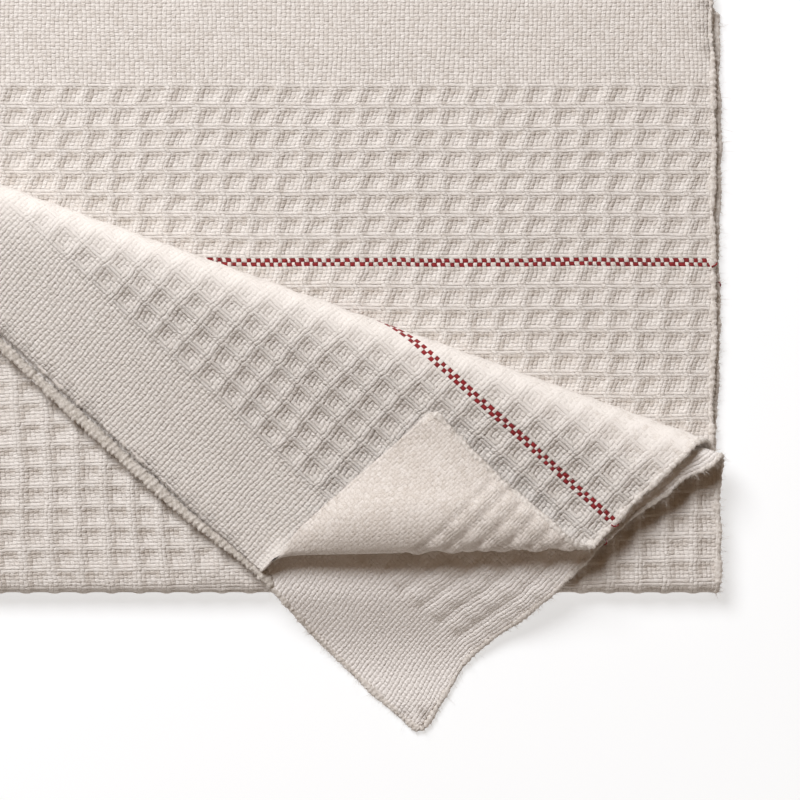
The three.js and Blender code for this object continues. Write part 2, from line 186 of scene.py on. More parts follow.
# The rolls along the edges: how far in each lies in half widths, its half width and half height, its
# stitches' pitch, slant and grooves, the step of its mesh, and its lift
HEM = (0.85, 2.0, 0.78, 2.1, 1.2, 0.32, 0.42, 0)
NARROW_HEM = (0.85, 1.45, 0.85, 2.1, 1.2, 0.36, 0.42, 0)
RAISED_HEM = (0.9, 2.5, 1.2, 2.4, 1.2, 0.26, 0.42, 0.6)
SOFT_HEM = (0.9, 1.0, 0.45, 2.1, 1.2, 0.08, 0.42, 0)
SELVAGE = (0.7, 1.3, 0.85, 2.6, 1.0, 0.3, 0.45, 0)
EDGES = (
    ("hem_start", ("v", 0.0), 0, WIDTH, HEM),
    ("hem_tip", ("v", LENGTH), 0, 92, NARROW_HEM),
    ("hem_under", ("v", LENGTH), 91, 350, RAISED_HEM),
    ("hem_over", ("v", LENGTH), 349, WIDTH, SOFT_HEM),
    ("selvage_left", ("u", 0.0), 0, LENGTH, SELVAGE),
    ("selvage_right", ("u", WIDTH), 0, LENGTH, SELVAGE),
)
EDGE_SIDES, LUMP_PITCH = 12, 3.2
LUMPS, STITCHES, FUZZ, GROOVE_MEAN = 0.17, 0.08, 0.05, 0.6
TIP_GAP, TIP_TAPER, TIP_THINNEST = 0.6, 1.2, 0.02

# The red threads' ends, in millimetres
RED_TAILS = ((0, 118), (0, 373), (WIDTH, 118), (WIDTH, 373))
TAIL = dict(turn=1.9, bend=0.8, run=1.6, inset=1.0, reach=1.75, rise=1.35, radius=0.3,
            points=13, sides=8)

# The loose fibres, in millimetres
FIBRE = dict(per_mm=4.0, seed=5, steps=3, sides=3, radius=0.08, tip=0.35, reach=(0.5, 2.1), turn=1.9,
             root=0.9, out=1.9, drift=0.65, curl=0.8, lowest=0.15)

# The camera and the photo's scale, in millimetres to a pixel at a height above the floor
PHOTO_SIZE = 800
PHOTO_SCALE = 0.4244
SCALE_HEIGHT = 6.6
CAMERA_HEIGHT = 1000.0
SENSOR = 36.0

# The studio, in metres and watts
KEY = dict(direction=(-0.42, 0.74, 1.0), distance=2.0, size=1.0, power=48, colour=(0.955, 0.985, 1.03))
FLOOR_REACH, SWEEP_RADIUS, FLOOR_GAP = 9.0, 3.0, 0.0004
FLOOR_SIDES, SWEEP_STEPS = 64, 9
FLOOR_COLOUR, FLOOR_GLOW = (0.40, 0.40, 0.40), 0.64
WORLD_COLOUR, WORLD_STRENGTH = (1, 0.62, 0.33, 1), 0.13


def smooth(low, high, x):
    """0 below low, 1 above high, and a smooth rise between them"""
    t = np.clip((x - low) / (high - low), 0, 1)
    return t * t * (3 - 2 * t)


def mix(a, b, share):
    return a + (b - a) * share


def rise_and_fall(rise, fall, x):
    """0, then 1 from rise's end to fall's start, then 0 again"""
    return smooth(*rise, x) * (1 - smooth(*fall, x))


def read(table_t, values, t):
    """Reads values at t, with a smooth run between the table's rows."""
    ts, vs = np.array(table_t, float), np.array(values, float)
    k = np.clip(np.searchsorted(ts, t, side="right") - 1, 0, len(ts) - 2)
    return mix(vs[k], vs[k + 1], smooth(ts[k], ts[k + 1], t))


def follow(arcs, travel):
    """Follows a chain of arcs that starts level. Each arc has a length and a turn in radians."""
    forward, up, heading = (np.zeros_like(travel) for _ in range(3))
    rest = travel.copy()
    for length, turn in arcs:
        step = np.minimum(rest, length)
        if turn == 0:
            forward += step * np.cos(heading)
            up += step * np.sin(heading)
        else:
            bend = turn / length
            turned = heading + bend * step
            forward += (np.sin(turned) - np.sin(heading)) / bend
            up += (np.cos(heading) - np.cos(turned)) / bend
            heading = turned
        rest = rest - step
    return forward, up


def side_fold(u):
    """The fold that halves the width: how far off it u lies, how high, and 1 on the outer layers"""
    across = u - SIDE_AT
    outer = 1 - smooth(-SHEAR_REACH, SHEAR_REACH, across)
    bent = np.abs(across) < SIDE_ARC
    angle = np.clip(across, -SIDE_ARC, SIDE_ARC) / SIDE_RADIUS
    s = np.where(bent, -SIDE_RADIUS * np.cos(angle), np.abs(across) - SIDE_ARC)
    return s, -SIDE_RADIUS * np.sin(angle), outer


def end_radius(outer):
    """The radius at which each layer turns over the fold that halves the length"""
    return END_RADIUS + mix(-SIDE_RADIUS, SIDE_RADIUS, outer)


def pulled_end(s, t, outer):
    """How far the upper layers' ends are drawn in: the inner one at its corner, the outer one at a dent"""
    pull, dent = CORNER_PULL, END_DENT
    corner = smooth(pull["s_from"], pull["s_to"], s) * smooth(pull["t_from"], pull["t_to"], t)
    at_dent = np.exp(-((s - dent["s"]) / dent["reach"]) ** 2) * smooth(dent["t_from"], dent["t_to"], t)
    return mix(pull["depth"] * corner, dent["depth"] * at_dent, outer)


def lay_out(s, outer, v):
    """The cloth in its own plane: its place across, and how far it lies beyond the end fold's start."""
    w = v - mix(INNER_LENGTH, OUTER_LENGTH, outer)
    t = w - math.pi * end_radius(outer)
    edge = (np.maximum(s, 0) / SIDE_LENGTH) ** 2
    turn = TWIST["angle"] * smooth(TWIST["start"], TWIST["stop"], t)
    sag = LOWER_SAG["depth"] * smooth(0, LOWER_SAG["reach"], -w) * edge * outer
    shift = mix(read(SHIFT_T, SHIFT_INNER, t), read(SHIFT_T, SHIFT_OUTER, t), outer)
    stretch = mix(read(STRETCH_T, STRETCH_INNER, t), read(STRETCH_T, STRETCH_OUTER, t), outer)
    across = s - TWIST["slide"] * np.maximum(t, 0) + shift * edge
    return across, w + turn * (s - TWIST["pivot"]) + stretch + sag - pulled_end(s, t, outer)


def flap_frame(x, y):
    """Where (x, y) lies along the flap's fold and beyond its start, and how far the fold stands open"""
    from_x, from_y = x - FLAP["x"], y - FLAP["y"]
    along = from_x * ALONG_X + from_y * ALONG_Y
    opened = smooth(FLAP["open_from"], FLAP["open_to"], along)
    radius = mix(FLAP["radius"], FLAP["open_radius"], opened)
    start = -(radius + SIDE_RADIUS + HALF_THICKNESS)
    return along, opened, radius, start, from_y * ALONG_X - from_x * ALONG_Y - start


def drop_arcs():
    """The bends by which the flap's outer layer drops from the stack to the floor"""
    height = UPPER_HEIGHT + 2 * END_RADIUS - SIDE_RADIUS - HALF_THICKNESS
    turn = DROP["turn"]
    bends = (1 - math.cos(turn)) * (DROP["entry"] + DROP["exit"]) / turn
    straight = (height - bends) / math.sin(turn)
    return (DROP["entry"], -turn), (straight, 0), (DROP["exit"], turn), (LENGTH, 0)


def drop_to_floor(x, y, z):
    forward, up = follow(drop_arcs(), np.maximum(DROP["y"] - y, 0))
    fallen = y < DROP["y"]
    return x, np.where(fallen, DROP["y"] - forward, y), np.where(fallen, z + up, z)


def roll_corner(x, y, z):
    """Rolls up the corner of the flap's inner layer, which lies on top"""
    along = np.clip((x - ROLL["left"]) / (ROLL["right"] - ROLL["left"]), 0, 1)
    full = np.sin(math.pi * along).clip(0) ** ROLL["fullness"]
    size, entry = mix(ROLL["size"], 1, full), mix(ROLL["entry_size"], 1, full)
    arcs = (
        (ROLL_ENTRY[0] * entry, ROLL_ENTRY[1]),
        (ROLL_TURN[0] * size, ROLL_TURN[1]),
        (ROLL_BACK[0] * size, ROLL_BACK[1]),
        ROLL_TIP,
        (LENGTH, 0),
    )
    upright = (math.pi / 2 - ROLL_ENTRY[1]) / ROLL_TURN[1]
    reach = follow(arcs, arcs[0][0] + arcs[1][0] * upright)[0] + HALF_THICKNESS
    dip = ROLL["dip"] * np.exp(np.minimum((ROLL["left"] - x) / ROLL["dip_reach"], LAYER_PITCH * 3))
    start = ROLL["edge_y"] + ROLL["slope"] * (x - ROLL["left"]) - dip + reach
    travel = np.maximum(start - y, 0)
    forward, up = follow(arcs, travel)
    turned = travel - forward
    gathered = ROLL["gather"] * np.minimum(x - ROLL["gather_to"], 0)
    rolled = travel > 0
    moved = gathered * smooth(0, ROLL["gather_reach"], turned) + ROLL["lean"] * turned
    return np.where(rolled, x - moved, x), np.where(rolled, start - forward, y), z + up


def flap_fold(x, y, offset, outer):
    """Turns the upper pair of layers back over the flap's slanting fold"""
    along, opened, frame_radius, start, beyond = flap_frame(x, y)
    cloth_radius = frame_radius + mix(SIDE_RADIUS, -SIDE_RADIUS, outer)
    radius = frame_radius - offset
    angle = beyond / cloth_radius
    distance = np.maximum(beyond - math.pi * cloth_radius, 0)
    bent = angle < math.pi
    across = np.where(bent, start + radius * np.sin(angle), start - distance)
    lift = 2 * (frame_radius - END_RADIUS) * (
        1 - smooth(0, mix(FLAP["settle"], FLAP["open_settle"], opened), distance))
    level = UPPER_HEIGHT + 2 * END_RADIUS - offset + lift
    folded_x = FLAP["x"] + along * ALONG_X - across * ALONG_Y
    folded_y = FLAP["y"] + along * ALONG_Y + across * ALONG_X
    in_fold = UPPER_HEIGHT + frame_radius - radius * np.cos(angle)
    hung = level - OVERHANG["bend"] * np.maximum(OVERHANG["x"] - folded_x, 0) ** 2
    dropped = drop_to_floor(folded_x, folded_y, hung)
    rolled = roll_corner(folded_x, folded_y, hung)
    is_outer = outer > 0.5
    done = [np.where(is_outer, a, b) for a, b in zip(dropped, rolled)]
    return [np.where(bent, a, b) for a, b in zip((folded_x, folded_y, in_fold), done)]


def place(u, v):
    """Where the point (u, v) of the flat cloth ends up, in millimetres."""
    u, v = np.broadcast_arrays(np.asarray(u, float), np.asarray(v, float))
    s, offset, outer = side_fold(u)
    across, w = lay_out(s, outer, v)
    x = SIDE_X + across
    cloth_radius = end_radius(outer)
    angle = np.clip(w / cloth_radius, 0, math.pi)
    radius = END_RADIUS + offset
    fold_y = END_Y - radius * np.sin(angle)
    fold_z = PAIR_HEIGHT + END_RADIUS - radius * np.cos(angle)
    y = END_Y + w - math.pi * cloth_radius
    flat = flap_frame(x, y)[4] <= 0
    flap = flap_fold(x, y, offset, outer)
    upper = [np.where(flat, a, b) for a, b in zip((x, y, UPPER_HEIGHT + offset), flap)]
    in_fold = w < math.pi * cloth_radius
    folded = [np.where(in_fold, a, b) for a, b in zip((x, fold_y, fold_z), upper)]
    lower = w <= 0
    px, py, pz = [np.where(lower, a, b) for a, b in zip((x, END_Y - w, PAIR_HEIGHT - offset), folded)]
    share = smooth(*SWELL_FROM_FLOOR, pz) * smooth(*SWELL_FROM_DROP, py - DROP["y"])
    return np.stack((px - CENTRE[0], py - CENTRE[1], pz + share * waves(px, py, SWELLS)), axis=-1)


def round_corner(u, v):
    """Draws the cloth's four square corners in to round ones."""
    off_u = CORNER_RADIUS - np.minimum(u, WIDTH - u)
    off_v = CORNER_RADIUS - np.minimum(v, LENGTH - v)
    corner = (off_u > 0) & (off_v > 0)
    reach = np.maximum(np.hypot(off_u, off_v), 1e-6)
    share = np.where(corner, 1 - np.maximum(off_u, off_v) / reach, 0)
    return u + share * off_u * np.sign(WIDTH / 2 - u), v + share * off_v * np.sign(LENGTH / 2 - v)


def waves(u, v, table):
    """A sum of waves. Each has a height, how fast it runs along u and v, and a phase."""
    return sum(h * np.sin(ku * u + kv * v + phase) for h, ku, kv, phase in table)


def laid(u, v):
    """Where (u, v) ends up, with the small irregularities of a soft, washed cloth"""
    u, v = np.broadcast_arrays(np.asarray(u, float), np.asarray(v, float))
    round_u, round_v = round_corner(u, v)
    calm = smooth(0, SHEAR_REACH, np.abs(u - SIDE_AT))
    free = rise_and_fall(UNDER_END["u_rise"], UNDER_END["u_fall"], u)
    round_v = round_v - UNDER_END["back"] * free * smooth(LENGTH - UNDER_END["back_reach"], LENGTH, v)
    spot = place(round_u + calm * waves(v, u, WANDER), round_v + WANDER_ALONG * waves(u, v, WANDER))
    spot[..., 2] += UNDER_END["lift"] * free * smooth(LENGTH - UNDER_END["lift_reach"], LENGTH, v)
    beside_roll = rise_and_fall(SELVAGE_LIFT["v_rise"], SELVAGE_LIFT["v_fall"], v)
    at_selvage = smooth(WIDTH - SELVAGE_LIFT["reach"], WIDTH, u)
    spot[..., 2] += SELVAGE_LIFT["height"] * at_selvage * beside_roll
    return spot


def face_direction(u, v):
    """Which way face A looks"""
    step = DIRECTION_STEP
    along_u = laid(u + step, v) - laid(u - step, v)
    along_v = laid(u, v + step) - laid(u, v - step)
    across = np.cross(along_v, along_u)
    return across / np.linalg.norm(across, axis=-1, keepdims=True)


def to_mm(places, thread):
    """Where a thread lies on the flat cloth, in millimetres"""
    return np.interp(thread, [p[0] for p in places], [p[1] for p in places])


def end_distance(end):
    """How many ends a thread lies from the middle of its cell, from 0 to 3"""
    return np.abs(end % CELL - CELL_MIDDLE)


def pick_phase(pick):
    """The pick's number, counted so that cells start on multiples of six past both red stripes"""
    return pick + CELL_MIDDLE - (pick > FIRST_STRIPE + 1) - (pick > SECOND_STRIPE + 1)


def pick_distance(pick):
    """How many picks a thread lies from the middle of its cell, from 0 to 3"""
    return np.abs(pick_phase(pick) % CELL - CELL_MIDDLE)


def stations(count):
    """A line of the mesh at each edge and in the middle of each thread"""
    return np.concatenate(([0.0], np.arange(count) + 0.5, [float(count)]))


END_LINES, PICK_LINES = stations(ENDS), stations(PICKS)


def whole_threads(end, pick):
    """The numbers of the threads that a station lies on"""
    return np.floor(end).clip(0, ENDS - 1), np.floor(pick).clip(0, PICKS - 1)


def relief_share(end, pick):
    """Where the waffle stands at its full height, 1, and where the cloth is flat, 0"""
    from_edge = np.minimum(end, ENDS - end)
    from_band = np.minimum(pick, PICKS - pick) - BAND_PICKS
    share = smooth(*RISE_FROM_EDGE, from_edge) * smooth(*RISE_FROM_BAND, from_band)
    for stripe in (FIRST_STRIPE, SECOND_STRIPE):
        share = share * smooth(*RISE_FROM_STRIPE, np.abs(pick - stripe - 1))
    return share


def lean(u, pick):
    """How far the threads of a cell lean, so that its ribs run slightly aslant"""
    row = pick_phase(np.floor(pick)) % CELL
    inner = smooth(-SHEAR_REACH, SHEAR_REACH, u - SIDE_AT) * (pick < LEAN_INNER_PICKS)
    return -mix(LEAN_OUTER, LEAN_INNER, inner) * np.where(row == 0, 0, row - CELL / 2)


def by_row(table, row, is_inner):
    """Reads a cell's table from the side that its ridge faces on this half of the cloth"""
    return table[np.where(is_inner, row, -row % CELL).astype(int)]


def pressed_height(end, pick, is_inner):
    """The relief of pressed cloth: pits that are steep below a ridge and rise towards the next one"""
    cell = by_row(PRESSED_CELL, pick_phase(pick) % CELL, is_inner)
    height = mix(cell, RIB_HEIGHT, RIB_SHARE[(end % CELL).astype(int)])
    return height * np.where(is_inner, INNER_SHARE, 1)


def lee_shade_share(end, pick, is_inner):
    """How much painted shade a place of the pressed cloth gets in the lee of its cell's ridge or rib, and
    how much painted highlight on the ridge
    """
    row, column = pick_phase(pick) % CELL, end % CELL
    beside = np.where(is_inner, column == 1, column == CELL - 2)
    in_cell = np.maximum(by_row(HOLLOW_SHADE_CELL, row, is_inner), RIB_LEE_SHADE * beside * (row > 0))
    on_rib = (column == 0) | (column == CELL - 1)
    return np.where(on_rib, 0, in_cell) * np.where(is_inner, INNER_SHARE, 1)


def end_bend_share(u, v):
    """1 where the cloth turns over at the fold that halves its length, and 0 elsewhere"""
    s, _, outer = side_fold(u)
    _, w = lay_out(s, outer, v)
    beyond = w - math.pi * end_radius(outer)
    return smooth(*END_BEND_RISE, w) * (1 - smooth(*END_BEND_FALL, beyond))


def flap_bend_share(u, v):
    """1 where the flap's fold draws the waffle flat, and 0 elsewhere"""
    s, _, outer = side_fold(u)
    across, w = lay_out(s, outer, v)
    y = END_Y + w - math.pi * end_radius(outer)
    _, _, radius, _, beyond = flap_frame(SIDE_X + across, y)
    after = beyond - math.pi * radius
    share = smooth(*FLAP_BEND_RISE, beyond) * (1 - smooth(*FLAP_BEND_FALL, after))
    return share * (w > 0) * (u > SIDE_AT)


def flap_share(u, v):
    """1 on the flap's upper layer, which lies free, and 0 where the cloth is pressed between others"""
    return smooth(FLAP_FROM, FLAP_FROM + FLAP_REACH, v) * (u > SIDE_AT)


def kept_relief(u, v, direction):
    """The share of the relief that folds, the roll and the flap's weight leave"""
    rolled = smooth(*ROLL_FROM, v) * (u > SIDE_AT) * (1 - smooth(*ROLL_TILT, direction[..., 2]))
    covered = smooth(*COVER_FROM, v) * (u < SIDE_AT)
    bent = (1 - FLAP_BEND_LOSS * flap_bend_share(u, v)) * (1 - END_BEND_LOSS * end_bend_share(u, v))
    return bent * (1 - ROLL_LOSS * rolled - COVER_LOSS * covered)


def skins():
    """The places of both faces' vertices in millimetres, and the way face A looks at each"""
    end, pick = np.meshgrid(END_LINES, PICK_LINES, indexing="ij")
    u, v = to_mm(END_PLACES, end), to_mm(PICK_PLACES, pick)
    share = relief_share(end, pick)
    u = u + lean(u, pick) * share
    middle = laid(u, v)
    direction = face_direction(u, v)
    whole_end, whole_pick = whole_threads(end, pick)
    loose = LOOSE_RELIEF[end_distance(whole_end).astype(int), pick_distance(whole_pick).astype(int)]
    pressed = pressed_height(whole_end, whole_pick, u > SIDE_AT)
    height = mix(pressed, loose, flap_share(u, v)) * share * kept_relief(u, v, direction)
    front = middle + direction * (height + SKIN)[..., None]
    back = middle + direction * (height - SKIN)[..., None]
    return front, back, direction


def block_middles():
    """The lines through the middles of the blocks, along both directions"""
    return (END_BLOCKS[:-1] + END_BLOCKS[1:]) // 2, (PICK_BLOCKS[:-1] + PICK_BLOCKS[1:]) // 2


def bent_blocks(front, back, direction):
    """Which blocks bulge or dip between their corners by more than FLAT_SAG"""
    middle = (front + back) / 2
    inside = np.ix_(*block_middles())
    picks = (PICK_BLOCKS[:-1], PICK_BLOCKS[1:])
    sag = 0
    for turn in (0, 1):
        first = np.ix_(END_BLOCKS[:-1], picks[turn])
        last = np.ix_(END_BLOCKS[1:], picks[1 - turn])
        off = middle[inside] - (middle[first] + middle[last]) / 2
        sag = np.maximum(sag, np.abs((off * direction[inside]).sum(-1)))
    return sag > FLAT_SAG


def highest_and_lowest(points, low, shape):
    """The cloth's highest and lowest places over each square of a grid"""
    key = ((points[:, :2] - low) / SEEN_GRID).astype(int)
    top, bottom = np.full(shape, -np.inf), np.full(shape, np.inf)
    np.maximum.at(top, (key[:, 0], key[:, 1]), points[:, 2])
    np.minimum.at(bottom, (key[:, 0], key[:, 1]), points[:, 2])
    return top, bottom


def seen_blocks(front, back, direction):
    """Which blocks of each face get all their threads: bent ones that are seen from outside or in a fold"""
    ends, picks = block_middles()
    points = np.concatenate((front.reshape(-1, 3), back.reshape(-1, 3)))
    low = points[:, :2].min(0) - SEEN_GRID
    shape = ((points[:, :2].max(0) - low) / SEEN_GRID).astype(int) + 1
    top, bottom = highest_and_lowest(points, low, shape)
    bent = bent_blocks(front, back, direction)
    result = []
    for skin, sign in ((front, 1), (back, -1)):
        seen = np.zeros(bent.shape, bool)
        for du in (-CELL_MIDDLE, 0, CELL_MIDDLE):
            for dv in (-CELL_MIDDLE, 0, CELL_MIDDLE):
                at = np.ix_(ends + du, picks + dv)
                spot, up = skin[at], direction[at][..., 2] * sign
                square = tuple(np.moveaxis(((spot[..., :2] - low) / SEEN_GRID).astype(int), -1, 0))
                seen |= (up > 0) & (spot[..., 2] > top[square] - SEEN_DEPTH)
                seen |= (up < 0) & (spot[..., 2] < bottom[square] + SEEN_DEPTH)
                seen |= np.abs(up) < LEVEL
        result.append(seen & bent)
    return result


def block_rim(first_end, last_end, first_pick, last_pick, whole):
    """The lines' crossings round a block. A side that meets a coarse block has only its corners."""
    rim = [(i, first_pick) for i in (range(first_end, last_end) if whole[0] else [first_end])]
    rim += [(last_end, j) for j in (range(first_pick, last_pick) if whole[1] else [first_pick])]
    rim += [(i, last_pick) for i in (range(last_end, first_end, -1) if whole[2] else [last_end])]
    rim += [(first_end, j) for j in (range(last_pick, first_pick, -1) if whole[3] else [last_pick])]
    return rim


def block_faces(fine, first):
    """The faces of one skin. A coarse block is a fan about its middle, which meets its finer neighbours."""
    nv = len(PICK_LINES)
    count_u, count_v = fine.shape
    faces = []
    for bu in range(count_u):
        i0, i1 = int(END_BLOCKS[bu]), int(END_BLOCKS[bu + 1])
        for bv in range(count_v):
            j0, j1 = int(PICK_BLOCKS[bv]), int(PICK_BLOCKS[bv + 1])
            if fine[bu, bv]:
                corners = [first + i * nv + j for i in range(i0, i1) for j in range(j0, j1)]
                faces += [(at, at + nv, at + nv + 1, at + 1) for at in corners]
                continue
            whole = [
                bv == 0 or fine[bu, bv - 1],
                bu == count_u - 1 or fine[bu + 1, bv],
                bv == count_v - 1 or fine[bu, bv + 1],
                bu == 0 or fine[bu - 1, bv],
            ]
            middle = first + (i0 + i1) // 2 * nv + (j0 + j1) // 2
            ring = [first + i * nv + j for i, j in block_rim(i0, i1, j0, j1, whole)]
            faces += [(middle, ring[k], ring[(k + 1) % len(ring)]) for k in range(len(ring))]
    return faces


def wall_faces(nu, nv):
    """The faces that join both skins round the cloth's edge"""
    rim = [(i, 0) for i in range(nu - 1)] + [(nu - 1, j) for j in range(nv - 1)]
    rim += [(i, nv - 1) for i in range(nu - 1, 0, -1)] + [(0, j) for j in range(nv - 1, 0, -1)]
    ring = [i * nv + j for i, j in rim]
    total = nu * nv
    return [(at, after, after + total, at + total) for at, after in zip(ring, ring[1:] + ring[:1])]


def mesh_from(name, points, faces):
    """A smooth mesh from points in millimetres"""
    mesh = bpy.data.meshes.new(name)
    mesh.from_pydata((np.asarray(points) * MM).tolist(), [], faces)
    mesh.polygons.foreach_set("use_smooth", np.ones(len(faces), bool))
    return mesh


def cloth_mesh():
    """Both faces of the cloth and the wall between them, with three slots for their materials"""
    front, back, direction = skins()
    fine_front, fine_back = seen_blocks(front, back, direction)
    nu, nv = len(END_LINES), len(PICK_LINES)
    total = nu * nv
    parts = (
        [f[::-1] for f in block_faces(fine_front, 0)],
        block_faces(fine_back, total),
        wall_faces(nu, nv),
    )
    faces = [f for part in parts for f in part]
    slots = np.repeat(np.arange(3, dtype=np.int32), [len(part) for part in parts])
    points = np.concatenate((front.reshape(-1, 3), back.reshape(-1, 3)))
    used = np.unique(np.concatenate([np.array(f) for f in faces]))
    place_of = np.full(2 * total, -1)
    place_of[used] = np.arange(len(used))
    mesh = mesh_from("cloth", points[used], [tuple(place_of[list(f)].tolist()) for f in faces])
    mesh.polygons.foreach_set("material_index", slots)
    add_maps(mesh, used, total, nv, slots)
    mesh.validate()
    return mesh


def add_map(mesh, name, places):
    """Adds a map with a place for each corner of each face"""
    mesh.uv_layers.new(name=name).uv.foreach_set("vector", places.astype(np.float32).ravel())


def add_maps(mesh, used, total, nv, slots):
    """Maps that count threads, tell how the cloth lies and where shade and highlight are painted on it, and
    lay its faces and edges out flat for baking
    """
    back = used >= total
    end, pick = END_LINES[used % total // nv], PICK_LINES[used % total % nv]
    u, v = to_mm(END_PLACES, end), to_mm(PICK_PLACES, pick)
    loose = flap_share(u, v)
    # The painted shade in the lee of the pressed cells' ridges and ribs, and the painted highlight on their
    # ridges
    hollow_shade = lee_shade_share(*whole_threads(end, pick), u > SIDE_AT) * relief_share(end, pick) * (1 - loose)
    loops = np.zeros(len(mesh.loops), np.int32)
    mesh.loops.foreach_get("vertex_index", loops)
    add_map(mesh, "Threads", np.stack((end, pick), axis=-1)[loops] / THREADS_MAP)
    # How far the flap's fold draws the cloth flat, which also sets a painted highlight along the fold, and
    # how loose the cloth lies
    add_map(mesh, "FoldHighlightAndLoose", np.stack((flap_bend_share(u, v), loose), axis=-1)[loops])
    add_map(mesh, "HollowShades", np.stack(((hollow_shade + 1) / 2, np.zeros_like(hollow_shade)), axis=-1)[loops])
    add_map(mesh, "OFBake", baking_places(mesh, u, v, back, loops, slots))


def baking_places(mesh, u, v, back, loops, slots):
    """Both faces side by side, and the edge's walls in thin strips beside them"""
    flat = np.stack((u, v + np.where(back, LENGTH + ATLAS_GAP, 0)), axis=-1) / ATLAS
    places = flat[loops] + ATLAS_MARGIN
    counts = np.zeros(len(mesh.polygons), np.int32)
    mesh.polygons.foreach_get("loop_total", counts)
    wall = np.repeat(slots, counts) == WALL_SLOT
    along_v = np.abs(v - LENGTH / 2) <= np.abs(u - WIDTH / 2)
    strip = WALL_STRIP + WALL_COLUMN * along_v + WALL_WIDTH * back
    run = (u + v) / (WIDTH + LENGTH)
    places[wall] = np.stack((strip, run), axis=-1)[loops[wall]]
    return places


class Signal:
    """A number that a material works out, written with the usual signs"""

    def __init__(self, tree, socket):
        self.tree, self.socket = tree, socket

    def math(self, operation, *others):
        node = self.tree.nodes.new("ShaderNodeMath")
        node.operation = operation
        for place, value in zip(node.inputs, (self, *others)):
            connect(self.tree, value, place)
        return Signal(self.tree, node.outputs[0])

    def __add__(self, other):
        return self.math("ADD", other)

    def __sub__(self, other):
        return self.math("SUBTRACT", other)

    def __mul__(self, other):
        return self.math("MULTIPLY", other)

    def __neg__(self):
        return self * -1

    def __rsub__(self, other):
        return self * -1 + other

    __radd__, __rmul__ = __add__, __mul__

    def over(self, other):
        return self.math("GREATER_THAN", other)

    def ramp(self, low, high, start=0.0, stop=1.0):
        node = self.tree.nodes.new("ShaderNodeMapRange")
        node.interpolation_type = "SMOOTHSTEP"
        for place, value in zip(node.inputs, (self, low, high, start, stop)):
            connect(self.tree, value, place)
        return Signal(self.tree, node.outputs[0])


def connect(tree, value, place):
    if isinstance(value, Signal):
        tree.links.new(value.socket, place)
    else:
        place.default_value = value


def read_map(tree, name):
    """Both numbers that a map of the mesh carries at a place"""
    node = tree.nodes.new("ShaderNodeUVMap")
    node.uv_map = name
    split = tree.nodes.new("ShaderNodeSeparateXYZ")
    tree.links.new(node.outputs[0], split.inputs[0])
    return [Signal(tree, split.outputs[k]) for k in (0, 1)]


def vector(tree, x, y, z=0.0):
    node = tree.nodes.new("ShaderNodeCombineXYZ")
    for place, value in zip(node.inputs, (x, y, z)):
        connect(tree, value, place)
    return node.outputs[0]


def noise(tree, where, scale, detail=2.0, roughness=0.5):
    node = tree.nodes.new("ShaderNodeTexNoise")
    tree.links.new(where, node.inputs["Vector"])
    node.inputs["Scale"].default_value = scale
    node.inputs["Detail"].default_value = detail
    node.inputs["Roughness"].default_value = roughness
    return Signal(tree, node.outputs["Fac"])


def chance(tree, x, y):
    """A random number from 0 to 1 for each pair of x and y"""
    node = tree.nodes.new("ShaderNodeTexWhiteNoise")
    node.noise_dimensions = "2D"
    tree.links.new(vector(tree, x, y), node.inputs["Vector"])
    return Signal(tree, node.outputs["Value"])


def mix_colour(tree, share, first, second):
    node = tree.nodes.new("ShaderNodeMix")
    node.data_type = "RGBA"
    connect(tree, share, node.inputs["Factor"])
    for place, value in ((node.inputs["A"], first), (node.inputs["B"], second)):
        if isinstance(value, tuple):
            place.default_value = (*value, 1)
        else:
            tree.links.new(value, place)
    return node.outputs["Result"]


def warp_is_up(end, pick, loose):
    """1 where the warp thread lies over the weft on face A of the cloth, and 0 elsewhere"""
    shift = CELL_MIDDLE - pick.over(FIRST_STRIPE + 1.5) - pick.over(SECOND_STRIPE + 1.5)
    column, row = end.math("FLOORED_MODULO", CELL), (pick + shift).math("FLOORED_MODULO", CELL)
    a, b = (column - CELL_MIDDLE).math("ABSOLUTE"), (row - CELL_MIDDLE).math("ABSOLUTE")
    plain = (end + pick).math("FLOORED_MODULO", 2.0).over(0.5)
    level = a.math("COMPARE", b, 0.2)
    free = level.math("MAXIMUM", (a - b).over(1.5))
    beside_ridge = 1 + end.over(SIDE_FOLD_END) * (CELL - 2)
    on_ridge = row.math("COMPARE", beside_ridge, 0.5).math("MAXIMUM", 1 - row.over(0.5))
    pressed = plain * (1 - on_ridge * in_range(column, 1, CELL - 2))
    waffle = pressed + (free - pressed) * loose
    return waffle_share(end, pick) * (waffle - plain) + plain


def waffle_share(end, pick):
    """1 where the cloth is woven in waffles, and 0 in its margins, bands and stripes"""
    inside = in_range(end, MARGIN_ENDS, ENDS - MARGIN_ENDS - 1)
    inside = inside * in_range(pick, BAND_PICKS, PICKS - BAND_PICKS - 1)
    return inside * (1 - stripe_share(pick))


def in_range(thread, first, last):
    """1 for the threads from first to last, and 0 for others"""
    return thread.over(first - 0.5) * (1 - thread.over(last + 0.5))


def stripe_share(pick):
    """1 for the two red picks of each stripe, and 0 for others"""
    first = pick.math("COMPARE", FIRST_STRIPE + 0.5, 0.8)
    return first + pick.math("COMPARE", SECOND_STRIPE + 0.5, 0.8)


def yarn_round(distance, half_width):
    """How high a round yarn stands at a distance from its middle, from 0 to 1"""
    share = distance * (1 / half_width)
    return (1 - share * share).math("MAXIMUM", 0.0).math("POWER", 0.5)


def pair(numbers, loose):
    """The first number, with the second added to it where the cloth lies loose"""
    return loose * numbers[1] + numbers[0]


